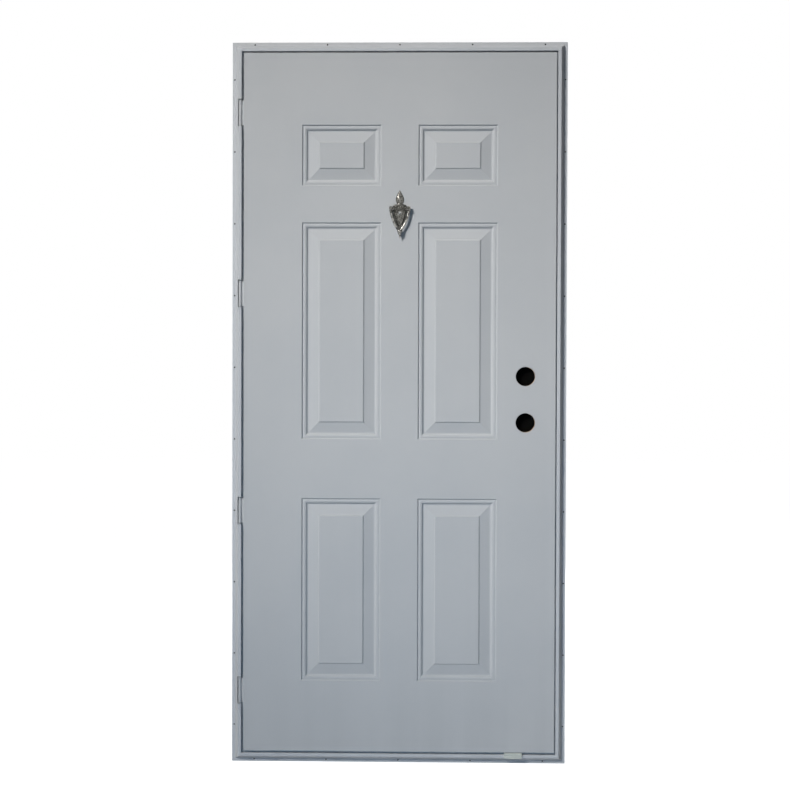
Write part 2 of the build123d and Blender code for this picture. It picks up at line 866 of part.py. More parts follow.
on_door_face = Pos(centre_x, face_y, knocker_z)
for name, piece in (
    ("knocker_base", knocker_base()),
    ("knocker_striker", knocker_striker()),
    ("knocker_pivot_pin", knocker_pivot_pin()),
    ("knocker_bolts", knocker_bolts()),
    ("viewer_barrel", viewer_barrel()),
    ("viewer_lens", viewer_lens()),
    ("viewer_eyepiece", viewer_eyepiece()),
):
    save(name, on_door_face * piece)
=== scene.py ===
import json
import logging
import math
from dataclasses import dataclass, field
from enum import Enum
from typing import Dict, Iterable, List, Optional, Sequence, Tuple, Union

import bmesh
import bpy
from mathutils import Matrix, Vector


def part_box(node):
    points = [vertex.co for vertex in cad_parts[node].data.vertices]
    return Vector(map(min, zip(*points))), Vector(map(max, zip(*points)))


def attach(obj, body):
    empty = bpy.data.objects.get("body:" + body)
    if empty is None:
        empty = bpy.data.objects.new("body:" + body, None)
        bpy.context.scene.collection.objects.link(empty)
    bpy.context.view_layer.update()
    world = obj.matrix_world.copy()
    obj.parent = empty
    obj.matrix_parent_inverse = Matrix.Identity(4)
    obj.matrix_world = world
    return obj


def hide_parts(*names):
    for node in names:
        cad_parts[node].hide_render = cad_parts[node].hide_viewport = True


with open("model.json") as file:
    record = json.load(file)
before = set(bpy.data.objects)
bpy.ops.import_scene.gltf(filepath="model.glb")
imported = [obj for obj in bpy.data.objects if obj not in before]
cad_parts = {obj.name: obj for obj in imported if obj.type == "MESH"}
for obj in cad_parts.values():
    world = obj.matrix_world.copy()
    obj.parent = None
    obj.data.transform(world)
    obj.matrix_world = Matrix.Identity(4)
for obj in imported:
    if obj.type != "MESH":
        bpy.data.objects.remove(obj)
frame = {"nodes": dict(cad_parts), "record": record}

log = logging.getLogger("panelled_door")

Colour = Tuple[float, float, float]
Point = Tuple[float, float, float]
Span = Tuple[float, float]  # low and high
Step = Tuple[float, float]  # run and rise
Spot = Tuple[float, float]  # X and Z on the door's face
Hole = Tuple[float, float, float]  # X, Z and radius
Key = Union[str, int]

WHITE: Colour = (1.0, 1.0, 1.0)
UNSTRETCHED: Point = (1.0, 1.0, 1.0)
ACROSS = Vector((1, 0, 0))
UPWARDS = Vector((0, 0, 1))
UPRIGHT = Matrix.Rotation(math.radians(90), 4, "X")


class Body(Enum):
    """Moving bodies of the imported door."""

    FRAME = "frame"
    DOOR = "door"
    STRIKER = "striker"


class Side(Enum):
    """Side of the slab that a skin covers, as the sign of Y that it faces."""

    OUTSIDE = -1.0
    INSIDE = 1.0


class Signal:
    """Output socket of a shader node, with Python's operators as Math nodes."""

    def __init__(self, graph: "Graph", socket: bpy.types.NodeSocket) -> None:
        """Keep the socket and the graph that it belongs to."""
        self.graph = graph
        self.socket = socket

    def _math(self, operation: str, first: "Value", second: "Value") -> "Signal":
        """Add one Math node.

        Args:
            operation: name of the Math node's operation.
            first: left operand.
            second: right operand.

        Returns:
            The result as a signal.
        """
        return self.graph.node("ShaderNodeMath", {"operation": operation}, {0: first, 1: second})

    def __add__(self, other: "Value") -> "Signal":
        """Sum of two values."""
        return self._math("ADD", self, other)

    def __radd__(self, other: "Value") -> "Signal":
        """Sum with a number on the left."""
        return self._math("ADD", other, self)

    def __sub__(self, other: "Value") -> "Signal":
        """Difference of two values."""
        return self._math("SUBTRACT", self, other)

    def __rsub__(self, other: "Value") -> "Signal":
        """Difference with a number on the left."""
        return self._math("SUBTRACT", other, self)

    def __mul__(self, other: "Value") -> "Signal":
        """Product of two values."""
        return self._math("MULTIPLY", self, other)

    def __rmul__(self, other: "Value") -> "Signal":
        """Product with a number on the left."""
        return self._math("MULTIPLY", other, self)

    def __pow__(self, other: "Value") -> "Signal":
        """Power of a value."""
        return self._math("POWER", self, other)

    def larger(self, other: "Value") -> "Signal":
        """Larger of two values."""
        return self._math("MAXIMUM", self, other)


Value = Union[Signal, float, Tuple[float, ...]]


class Graph:
    """Node tree of one material or of the world."""

    noise_middle = 0.5

    def __init__(self, tree: bpy.types.NodeTree) -> None:
        """Empty the tree, so that every node in it is made here."""
        self.tree = tree
        tree.nodes.clear()

    def node(
        self,
        kind: str,
        settings: Optional[Dict[str, object]] = None,
        inputs: Optional[Dict[Key, Value]] = None,
        output: Key = 0,
    ) -> Signal:
        """Add a node.

        Args:
            kind: Blender's type name of the node.
            settings: attributes that are set first; "stops" fills a colour ramp.
            inputs: values or signals of its sockets, by name or place.
            output: name or place of the socket to return.

        Returns:
            The chosen output as a signal.
        """
        made = self.tree.nodes.new(kind)
        for name, value in (settings or {}).items():
            if name == "stops":
                self._fill_ramp(made.color_ramp, value)
            else:
                setattr(made, name, value)
        for name, value in (inputs or {}).items():
            socket = made.inputs[name]
            if isinstance(value, Signal):
                self.tree.links.new(value.socket, socket)
            else:
                socket.default_value = value
        return Signal(self, made.outputs[output]) if made.outputs else Signal(self, made.inputs[0])

    @staticmethod
    def _fill_ramp(ramp: bpy.types.ColorRamp, stops: Sequence[Tuple[float, Colour]]) -> None:
        """Set a ramp's stops.

        Args:
            ramp: the node's colour ramp, which starts with two stops.
            stops: place and colour of each stop, in order.
        """
        while len(ramp.elements) < len(stops):
            ramp.elements.new(1.0)
        for element, (place, colour) in zip(ramp.elements, stops):
            element.position = place
            element.color = (*colour, 1.0)

    def place(self, stretch: Point = UNSTRETCHED) -> Signal:
        """Object coordinates, scaled along each axis.

        Args:
            stretch: factor along X, Y and Z.

        Returns:
            The coordinates as a signal.
        """
        raw = self.node("ShaderNodeTexCoord", output="Object")
        if stretch == UNSTRETCHED:
            return raw
        return self.node("ShaderNodeMapping", {}, {"Vector": raw, "Scale": stretch})

    def axis(self, name: str) -> Signal:
        """One object coordinate.

        Args:
            name: X, Y or Z.

        Returns:
            That coordinate, in metres.
        """
        return self.node("ShaderNodeSeparateXYZ", {}, {0: self.place()}, name)

    def noise(self, where: Signal, scale: float, detail: float = 2.0, rough: float = 0.5) -> Signal:
        """Soft noise between 0 and 1.

        Args:
            where: coordinates.
            scale: patches to a metre.
            detail: octaves.
            rough: share that each octave keeps.

        Returns:
            The noise.
        """
        inputs = {"Vector": where, "Scale": scale, "Detail": detail, "Roughness": rough}
        return self.node("ShaderNodeTexNoise", {}, inputs)

    def swing(self, noise: Signal, width: float) -> Signal:
        """Noise spread about zero.

        Args:
            noise: noise between 0 and 1.
            width: distance from its lowest to its highest value.

        Returns:
            The spread noise.
        """
        return (noise - self.noise_middle) * width

    def band(self, value: Signal, low: float, high: float) -> Signal:
        """Smooth step from 0 at low to 1 at high.

        Args:
            value: what is measured.
            low: where the step starts.
            high: where the step ends.

        Returns:
            The step.
        """
        inputs = {"Value": value, "From Min": low, "From Max": high}
        return self.node("ShaderNodeMapRange", {"interpolation_type": "SMOOTHSTEP"}, inputs)

    def mix(self, factor: Value, first: Value, second: Value) -> Signal:
        """Mix of two colours.

        Args:
            factor: share of the second colour.
            first: colour at 0.
            second: colour at 1.

        Returns:
            The mixed colour.
        """
        ends = {}
        for index, colour in ((6, first), (7, second)):
            ends[index] = colour if isinstance(colour, Signal) else (*colour, 1.0)
        return self.node("ShaderNodeMix", {"data_type": "RGBA"}, {0: factor, **ends}, 2)

    def bump(self, height: Signal, depth: float) -> Signal:
        """Bumped normal.

        Args:
            height: height between 0 and 1.
            depth: real height of 1, in metres.

        Returns:
            The normal.
        """
        return self.node("ShaderNodeBump", {}, {"Height": height, "Distance": depth, "Strength": 1.0})

    def surface(self, inputs: Dict[Key, Value]) -> None:
        """End the tree in a Principled shader.

        Args:
            inputs: values or signals of the shader's sockets.
        """
        shader = self.node("ShaderNodeBsdfPrincipled", {}, inputs)
        self.node("ShaderNodeOutputMaterial", {}, {"Surface": shader})


@dataclass(frozen=True)
class Finish:
    """What every finish has: the name of its material."""

    name: str

    def graph(self) -> Tuple[bpy.types.Material, Graph]:
        """Start an empty material.

        Returns:
            The material and its node graph.
        """
        material = bpy.data.materials.new(self.name)
        material.use_nodes = True
        return material, Graph(material.node_tree)


@dataclass(frozen=True)
class EnamelFinish(Finish):
    """Sprayed satin enamel with a faint orange peel, cloudy tone and handling marks near the floor."""

    colour: Colour = (0.45, 0.465, 0.48)
    shade: Colour = (0.43, 0.447, 0.465)
    roughness: float = 0.56
    roughness_swing: float = 0.16
    specular: float = 0.25
    cloud_scale: float = 2.4
    cloud_band: Span = (0.35, 0.65)
    peel_scale: float = 420.0
    peel_depth: float = 0.00005
    soil: Colour = (0.37, 0.385, 0.40)
    soil_top: float = 0.5
    soil_share: float = 0.25
    soil_dulling: float = 0.3
    streak_stretch: Point = (14.0, 14.0, 0.8)
    streak_band: Span = (0.38, 0.72)

    def build(self) -> bpy.types.Material:
        """Make the material.

        Returns:
            The enamel.
        """
        material, g = self.graph()
        where = g.place()
        cloud = g.noise(where, self.cloud_scale, detail=4.0, rough=0.6)
        streak = g.noise(g.place(self.streak_stretch), scale=1.0, detail=3.0)
        tone = g.mix(g.band(cloud, *self.cloud_band), self.shade, self.colour)
        low = 1.0 - g.band(g.axis("Z"), 0.0, self.soil_top)
        soiled = low * g.band(streak, *self.streak_band) * self.soil_share
        tone = g.mix(soiled, tone, self.soil)
        peel = g.noise(where, self.peel_scale, rough=0.45)
        dullness = self.roughness + g.swing(cloud, self.roughness_swing) + soiled * self.soil_dulling
        g.surface(
            {
                "Base Color": tone,
                "Roughness": dullness,
                "Normal": g.bump(peel, self.peel_depth),
                "Specular IOR Level": self.specular,
            }
        )
        return material


@dataclass(frozen=True)
class PlatedFinish(Finish):
    """Bright plating on cast or drawn metal, with dull patches and darker tarnish; on the dark-set nickels
    the dark colours and patches are also painted reflection of a dark room.
    """

    bright: Colour = (0.62, 0.61, 0.59)
    dark: Colour = (0.16, 0.155, 0.145)
    tarnish_and_reflection_low: float = 0.45
    tarnish_and_reflection_high: float = 0.7
    tarnish_dulling: float = 0.18
    patch_scale: float = 90.0
    roughness: float = 0.16
    roughness_swing: float = 0.06
    grain_scale: float = 700.0
    grain_depth: float = 0.00004

    def build(self) -> bpy.types.Material:
        """Make the material.

        Returns:
            The plating.
        """
        material, g = self.graph()
        where = g.place()
        patch = g.noise(where, self.patch_scale, detail=4.0, rough=0.6)
        # Dark patches: real tarnish, and on the dark-set nickels also painted dark reflection.
        tarnish_and_painted_reflection = g.band(patch, self.tarnish_and_reflection_low, self.tarnish_and_reflection_high)
        grain = g.noise(where, self.grain_scale)
        dullness = self.roughness + tarnish_and_painted_reflection * self.tarnish_dulling + g.swing(grain, self.roughness_swing)
        g.surface(
            {
                "Base Color": g.mix(tarnish_and_painted_reflection, self.bright, self.dark),
                "Metallic": 1.0,
                "Roughness": dullness,
                "Normal": g.bump(grain, self.grain_depth),
            }
        )
        return material


@dataclass(frozen=True)
class SawnWoodFinish(Finish):
    """Sawn softwood with grain that runs along Z."""

    early: Colour = (0.52, 0.37, 0.22)
    late: Colour = (0.32, 0.20, 0.11)
    ring_scale: float = 55.0
    ring_stretch: Point = (1.0, 1.0, 0.06)
    ring_band: Span = (0.38, 0.62)
    fibre_scale: float = 900.0
    fibre_stretch: Point = (1.0, 1.0, 0.02)
    fibre_share: float = 0.35
    fibre_depth: float = 0.0003
    roughness: float = 0.72
    roughness_swing: float = 0.2

    def build(self) -> bpy.types.Material:
        """Make the material.

        Returns:
            The wood.
        """
        material, g = self.graph()
        rings = g.noise(g.place(self.ring_stretch), self.ring_scale, detail=3.0, rough=0.55)
        fibre = g.noise(g.place(self.fibre_stretch), self.fibre_scale)
        tone = g.mix(g.band(rings, *self.ring_band), self.early, self.late)
        tone = g.mix(fibre * self.fibre_share, tone, self.late)
        g.surface(
            {
                "Base Color": tone,
                "Roughness": self.roughness + g.swing(fibre, self.roughness_swing),
                "Normal": g.bump(fibre, self.fibre_depth),
            }
        )
        return material


@dataclass(frozen=True)
class MouldedFinish(Finish):
    """Moulded or extruded rubber, plastic or foam with a fine grain."""

    colour: Colour = (0.55, 0.58, 0.55)
    shade: Colour = (0.48, 0.51, 0.48)
    roughness: float = 0.5
    roughness_swing: float = 0.15
    cloud_scale: float = 40.0
    cloud_band: Span = (0.35, 0.65)
    grain_scale: float = 1500.0
    grain_depth: float = 0.00005

    def build(self) -> bpy.types.Material:
        """Make the material.

        Returns:
            The moulding's material.
        """
        material, g = self.graph()
        where = g.place()
        cloud = g.noise(where, self.cloud_scale, detail=3.0)
        grain = g.noise(where, self.grain_scale)
        g.surface(
            {
                "Base Color": g.mix(g.band(cloud, *self.cloud_band), self.shade, self.colour),
                "Roughness": self.roughness + g.swing(cloud, self.roughness_swing),
                "Normal": g.bump(grain, self.grain_depth),
            }
        )
        return material


@dataclass(frozen=True)
class BeadFoamFinish(Finish):
    """Rigid foam of small beads."""

    colour: Colour = (0.78, 0.74, 0.62)
    seam: Colour = (0.60, 0.55, 0.42)
    bead_scale: float = 260.0
    seam_band: Span = (0.25, 0.6)
    seam_depth: float = 0.0004
    roughness: float = 0.85
    roughness_swing: float = 0.1

    def build(self) -> bpy.types.Material:
        """Make the material.

        Returns:
            The foam.
        """
        material, g = self.graph()
        cells = g.node("ShaderNodeTexVoronoi", {}, {"Vector": g.place(), "Scale": self.bead_scale})
        edge = g.band(cells, *self.seam_band)
        g.surface(
            {
                "Base Color": g.mix(edge, self.colour, self.seam),
                "Roughness": self.roughness + g.swing(edge, self.roughness_swing),
                "Normal": g.bump(1.0 - edge, self.seam_depth),
            }
        )
        return material


@dataclass(frozen=True)
class LensFinish(Finish):
    """Clear glass of the door viewer's lens, with a trace of dust."""

    tint: Colour = (0.86, 0.9, 0.92)
    roughness: float = 0.03
    refraction: float = 1.5
    dust: Colour = (0.7, 0.7, 0.68)
    dust_scale: float = 900.0
    dust_band: Span = (0.55, 0.8)
    dust_share: float = 0.3
    haze_band: Span = (0.5, 0.8)
    haze_dulling: float = 0.1

    def build(self) -> bpy.types.Material:
        """Make the material.

        Returns:
            The glass.
        """
        material, g = self.graph()
        specks = g.noise(g.place(), self.dust_scale, detail=3.0)
        dusty = g.band(specks, *self.dust_band) * self.dust_share
        g.surface(
            {
                "Base Color": g.mix(dusty, self.tint, self.dust),
                "Roughness": self.roughness + g.band(specks, *self.haze_band) * self.haze_dulling,
                "Transmission Weight": 1.0,
                "IOR": self.refraction,
            }
        )
        return material


@dataclass(frozen=True)
class Palette:
    """All finishes of the door."""

    door_enamel: EnamelFinish = EnamelFinish("door_enamel")
    frame_enamel: EnamelFinish = EnamelFinish(
        "frame_enamel",
        colour=(0.49, 0.51, 0.535),
        shade=(0.465, 0.487, 0.515),
        roughness=0.5,
        peel_scale=520.0,
    )
    hinge_enamel: EnamelFinish = EnamelFinish("hinge_enamel", colour=(0.46, 0.475, 0.49), roughness=0.48)
    # Painted reflection: the polished nickel gets dark colours and dark patches that paint the reflection
    # of a dark room into the metal.
    nickel_painted_reflection: PlatedFinish = PlatedFinish(
        "polished_nickel",
        bright=(0.36, 0.355, 0.335),
        dark=(0.075, 0.074, 0.068),
        tarnish_and_reflection_low=0.38,
        tarnish_and_reflection_high=0.6,
        patch_scale=130.0,
        roughness=0.13,
    )
    # Painted reflection: the knocker base's nickel is set darker still, with dark patches that paint the
    # reflection of a dark room into the metal.
    base_nickel_painted_reflection: PlatedFinish = PlatedFinish(
        "antiqued_nickel",
        bright=(0.19, 0.187, 0.172),
        dark=(0.045, 0.044, 0.04),
        tarnish_and_reflection_low=0.4,
        tarnish_and_reflection_high=0.62,
        patch_scale=210.0,
        roughness=0.2,
        grain_scale=420.0,
        grain_depth=0.0003,
    )
    zinc: PlatedFinish = PlatedFinish(
        "zinc_plating", bright=(0.6, 0.6, 0.58), dark=(0.38, 0.37, 0.34), roughness=0.32, patch_scale=160.0
    )
    aluminium: PlatedFinish = PlatedFinish(
        "mill_aluminium", bright=(0.7, 0.71, 0.72), dark=(0.5, 0.5, 0.5), roughness=0.36, patch_scale=30.0
    )
    seal: MouldedFinish = MouldedFinish(
        "seal_rubber", colour=(0.022, 0.022, 0.024), shade=(0.014, 0.014, 0.015), roughness=0.7
    )
    weep: MouldedFinish = MouldedFinish(
        "weep_plastic", colour=(0.53, 0.56, 0.52), shade=(0.49, 0.52, 0.48), roughness=0.45
    )
    wood: SawnWoodFinish = SawnWoodFinish("edge_wood")
    foam: BeadFoamFinish = BeadFoamFinish("core_foam")
    glass: LensFinish = LensFinish("viewer_glass")


def round_edges(
    bm: bmesh.types.BMesh, edges: Iterable[bmesh.types.BMEdge], radius: float, segments: int
) -> None:
    """Round edges of a shape.

    Args:
        bm: the shape.
        edges: its edges that are rounded.
        radius: their radius, in metres.
        segments: faces across each rounding.
    """
    bmesh.ops.bevel(
        bm,
        geom=list(edges),
        offset=radius,
        offset_type="OFFSET",
        affect="EDGES",
        segments=segments,
        profile=0.5,
        material=-1,
        clamp_overlap=True,
    )


class Workshop:
    """Finished materials, and the ways to dress and declare pieces."""

    weld = 1e-6
    flat_angle = math.radians(0.5)
    corner_angle = math.radians(35.0)
    crease_angle = math.radians(60.0)
    corner_segments = 2

    def __init__(self, palette: Palette) -> None:
        """Make every material once.

        Args:
            palette: the finishes.
        """
        self.enamel = palette.door_enamel.build()
        self.frame_enamel = palette.frame_enamel.build()
        self.hinge_enamel = palette.hinge_enamel.build()
        self.nickel_painted_reflection = palette.nickel_painted_reflection.build()
        self.base_nickel_painted_reflection = palette.base_nickel_painted_reflection.build()
        self.zinc = palette.zinc.build()
        self.aluminium = palette.aluminium.build()
        self.seal = palette.seal.build()
        self.weep = palette.weep.build()
        self.wood = palette.wood.build()
        self.foam = palette.foam.build()
        self.glass = palette.glass.build()

    @staticmethod
    def dress(nodes: Iterable[str], material: bpy.types.Material) -> None:
        """Give CAD nodes a material.

        Args:
            nodes: names of the nodes.
            material: their finish.
        """
        for name in nodes:
            mesh = frame["nodes"][name].data
            mesh.materials.clear()
            mesh.materials.append(material)
            log.info("dressed %s in %s", name, material.name)

    @staticmethod
    def piece(
        name: str, bm: bmesh.types.BMesh, material: bpy.types.Material, smooth: bool
    ) -> bpy.types.Object:
        """Turn a bmesh into an object at the origin.

        Args:
            name: name of the piece.
            bm: its shape, which is freed.
            material: its finish.
            smooth: whether its faces are shaded smooth.

        Returns:
            The object, linked to the scene.
        """
        for face in bm.faces:
            face.smooth = smooth
        mesh = bpy.data.meshes.new(name)
        bm.to_mesh(mesh)
        bm.free()
        mesh.materials.append(material)
        made = bpy.data.objects.new(name, mesh)
        bpy.context.scene.collection.objects.link(made)
        return made

    def refine(self, node: str, material: bpy.types.Material, body: Body, slot: str, radius: float) -> None:
        """Round the corners of a copy of a CAD node, which the copy then stands for.

        Args:
            node: name of the CAD node.
            material: its finish.
            body: the body that it moves with.
            slot: the record's material slot.
            radius: radius of its corners, in metres.
        """
        bm = bmesh.new()
        bm.from_mesh(frame["nodes"][node].data)
        bmesh.ops.remove_doubles(bm, verts=bm.verts[:], dist=self.weld)
        bmesh.ops.dissolve_limit(bm, angle_limit=self.flat_angle, verts=bm.verts[:], edges=bm.edges[:])
        corners = [
            edge for edge in bm.edges if edge.is_manifold and edge.calc_face_angle() > self.corner_angle
        ]
        round_edges(bm, corners, radius, self.corner_segments)
        made = self.piece(f"{node}_finished", bm, material, True)
        made.data.set_sharp_from_angle(angle=self.crease_angle)
        weights = made.modifiers.new("face_weights", "WEIGHTED_NORMAL")
        weights.keep_sharp = True
        self.declare(made, body, slot, node)

    @staticmethod
    def declare(piece: bpy.types.Object, body: Body, slot: str, *nodes: str) -> None:
        """Attach a piece to the body that it rides on, and hide the CAD nodes that it stands for.

        Args:
            piece: the new piece.
            body: the body that it moves with.
            slot: the record's material slot; not used.
            nodes: the CAD nodes that it replaces.
        """
        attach(piece, body.value)
        if nodes:
            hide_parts(*nodes)
        log.info("built %s with %d faces", piece.name, len(piece.data.polygons))


@dataclass
class Panelling:
    """Layout of the six panels and the profile of their embossing."""

    panel_width: float = 0.224
    mullion: float = 0.1011
    bottom_rail: float = 0.198
    bottom_panel: float = 0.515
    lock_rail: float = 0.1631
    frieze_rail: float = 0.0998
    top_panel: float = 0.1723
    top_rail: float = 0.1995
    edge_margin: float = 0.0013
    edge_slope: float = 0.0027
    edge_depth: float = 0.0038
    bead_rise: float = 0.0047
    bead_fall: float = 0.0046
    bead_crown: float = 0.0009
    groove_slope: float = 0.0042
    groove_depth: float = 0.0083
    groove: float = 0.0035
    bevel_run: float = 0.027
    shoulder_depth: float = 0.0028
    shoulder: float = 0.003

    def columns(self, centre: float) -> List[Span]:
        """Left and right edge of each column.

        Args:
            centre: X of the door's middle.

        Returns:
            The edges, from left to right.
        """
        inner = self.mullion / 2
        outer = inner + self.panel_width
        return [(centre - outer, centre - inner), (centre + inner, centre + outer)]

    def rows(self, bottom: float, top: float) -> List[Span]:
        """Bottom and top edge of each row.

        Args:
            bottom: Z of the face's bottom edge.
            top: Z of the face's top edge.

        Returns:
            The edges, from the bottom up.
        """
        first = bottom + self.bottom_rail
        second = first + self.bottom_panel + self.lock_rail
        third = top - self.top_rail - self.top_panel
        return [
            (first, first + self.bottom_panel),
            (second, third - self.frieze_rail),
            (third, third + self.top_panel),
        ]

    def steps(self) -> List[Step]:
        """Run inwards and rise of each band of the embossing, from the panel's edge.

        Returns:
            The bands, in order.
        """
        return [
            (self.edge_margin, 0.0),
            (self.edge_slope, -self.edge_depth),
            (self.bead_rise, self.bead_crown),
            (self.bead_fall, -self.bead_crown),
            (self.groove_slope, self.edge_depth - self.groove_depth),
            (self.groove, 0.0),
            (self.bevel_run, self.groove_depth - self.shoulder_depth),
            (self.shoulder, self.shoulder_depth),
        ]


@dataclass
class PressedSkin:
    """Pressed steel sheet of one side of the slab, with soft bends."""

    node: str
    side: Side
    layout: Panelling
    face: Tuple[Vector, Vector]
    centre: float
    fold: float
    thickness: float = 0.0007
    fold_radius: float = 0.001
    bend_radius: float = 0.0005
    bend_segments: int = 3
    hole_segments: int = 64
    hole_margin: float = 1.35
    rim_depth: float = 0.002
    rim_radius: float = 0.0009
    on_edge: float = 1e-6
    holes: List[Hole] = field(default_factory=list)

    def build(self, shop: Workshop) -> None:
        """Press the sheet, which stands for its CAD node.

        Args:
            shop: the workshop with the materials.
        """
        low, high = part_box(self.node)
        outer_y = low.y if self.side is Side.OUTSIDE else high.y
        bm = bmesh.new()
        corners = [(low.x, low.z), (high.x, low.z), (high.x, high.z), (low.x, high.z)]
        if self.side is Side.INSIDE:
            corners.reverse()
        bm.faces.new([bm.verts.new((x, outer_y, z)) for x, z in corners])
        columns = self.layout.columns(self.centre)
        rows = self.layout.rows(self.face[0].z, self.face[1].z)
        self._score(bm, [x for edges in columns for x in edges], ACROSS)
        self._score(bm, [z for edges in rows for z in edges], UPWARDS)
        for x, z, radius in self.holes:
            self._punch(bm, x, z, radius, outer_y)
        self._emboss(bm, columns, rows)
        self._fold_edges(bm)
        self._face_outwards(bm)
        skin = shop.piece(f"{self.node}_pressed", bm, shop.enamel, False)
        sheet = skin.modifiers.new("sheet", "SOLIDIFY")
        sheet.thickness = self.thickness
        sheet.offset = -1.0
        shop.declare(skin, Body.DOOR, "door_paint", self.node)

    @staticmethod
    def _score(bm: bmesh.types.BMesh, places: Iterable[float], normal: Vector) -> None:
        """Cut the flat sheet along straight lines.

        Args:
            bm: the sheet.
            places: distance of each line from the origin.
            normal: direction across the lines.
        """
        for place in places:
            geometry = bm.verts[:] + bm.edges[:] + bm.faces[:]
            bmesh.ops.bisect_plane(bm, geom=geometry, plane_co=normal * place, plane_no=normal)

    def _punch(self, bm: bmesh.types.BMesh, x: float, z: float, radius: float, y: float) -> None:
        """Punch one round hole through the flat sheet.

        Args:
            bm: the sheet.
            x: middle of the hole.
            z: middle of the hole.
            radius: radius of the hole.
            y: plane of the sheet.
        """
        half = radius * self.hole_margin
        cuts = [(ACROSS, x - half), (ACROSS, x + half), (UPWARDS, z - half), (UPWARDS, z + half)]
        for normal, place in cuts:
            cell = self._cell(bm, x, z)
            geometry = [cell, *cell.edges, *cell.verts]
            bmesh.ops.bisect_plane(bm, geom=geometry, plane_co=normal * place, plane_no=normal)
        cell = self._cell(bm, x, z)
        rim = list(cell.edges)
        bmesh.ops.delete(bm, geom=[cell], context="FACES_ONLY")
        bmesh.ops.subdivide_edges(bm, edges=rim, cuts=self.hole_segments // len(rim) - 1)
        reach = half + self.bend_radius
        rim = [
            edge
            for edge in bm.edges
            if edge.is_boundary and all(max(abs(v.co.x - x), abs(v.co.z - z)) < reach for v in edge.verts)
        ]
        ring = bmesh.ops.create_circle(
            bm, segments=self.hole_segments, radius=radius, matrix=Matrix.Translation((x, y, z)) @ UPRIGHT
        )
        circle = list({edge for vert in ring["verts"] for edge in vert.link_edges})
        bmesh.ops.bridge_loops(bm, edges=rim + circle)
        grown = bmesh.ops.extrude_edge_only(bm, edges=circle)["geom"]
        moved = [item for item in grown if isinstance(item, bmesh.types.BMVert)]
        bmesh.ops.translate(bm, verts=moved, vec=(0.0, -self.side.value * self.rim_depth, 0.0))
        round_edges(bm, circle, self.rim_radius, self.bend_segments)

    def _face_outwards(self, bm: bmesh.types.BMesh) -> None:
        """Turn all faces of the sheet to the side that is seen.

        Args:
            bm: the sheet.
        """
        bmesh.ops.recalc_face_normals(bm, faces=bm.faces[:])
        largest = max(bm.faces, key=lambda face: face.calc_area())
        if largest.normal.y * self.side.value < 0:
            bmesh.ops.reverse_faces(bm, faces=bm.faces[:])

    @staticmethod
    def _cell(bm: bmesh.types.BMesh, x: float, z: float) -> bmesh.types.BMFace:
        """Face of the flat sheet whose outline's box holds a point.

        Args:
            bm: the sheet.
            x: X of the point.
            z: Z of the point.

        Returns:
            The smallest such face.
        """
        found = []
        for face in bm.faces:
            xs = [vert.co.x for vert in face.verts]
            zs = [vert.co.z for vert in face.verts]
            if min(xs) < x < max(xs) and min(zs) < z < max(zs):
                found.append(face)
        return min(found, key=lambda face: face.calc_area())

    def _emboss(self, bm: bmesh.types.BMesh, columns: Sequence[Span], rows: Sequence[Span]) -> None:
        """Press the panels in by a row of insets, then round their bends.

        Args:
            bm: the scored sheet.
            columns: left and right edge of each column.
            rows: bottom and top edge of each row.
        """
        middles = [((x0 + x1) / 2, (z0 + z1) / 2) for x0, x1 in columns for z0, z1 in rows]
        panels = [self._cell(bm, x, z) for x, z in middles]
        bends = {edge for face in panels for edge in face.edges}
        for run, rise in self.layout.steps():
            bmesh.ops.inset_individual(bm, faces=panels, thickness=run, depth=rise, use_even_offset=True)
            bends.update(edge for face in panels for edge in face.edges)
        round_edges(bm, bends, self.bend_radius, self.bend_segments)

    def _fold_edges(self, bm: bmesh.types.BMesh) -> None:
        """Fold the sheet's outer edges back round the slab.

        Args:
            bm: the embossed sheet.
        """
        low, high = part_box(self.node)
        outer = [
            edge
            for edge in bm.edges
            if edge.is_boundary
            and (
                all(min(abs(v.co.x - low.x), abs(v.co.x - high.x)) < self.on_edge for v in edge.verts)
                or all(min(abs(v.co.z - low.z), abs(v.co.z - high.z)) < self.on_edge for v in edge.verts)
            )
        ]
        grown = bmesh.ops.extrude_edge_only(bm, edges=outer)["geom"]
        moved = [item for item in grown if isinstance(item, bmesh.types.BMVert)]
        bmesh.ops.translate(bm, verts=moved, vec=(0.0, -self.side.value * self.fold, 0.0))
        round_edges(bm, outer, self.fold_radius, self.bend_segments)


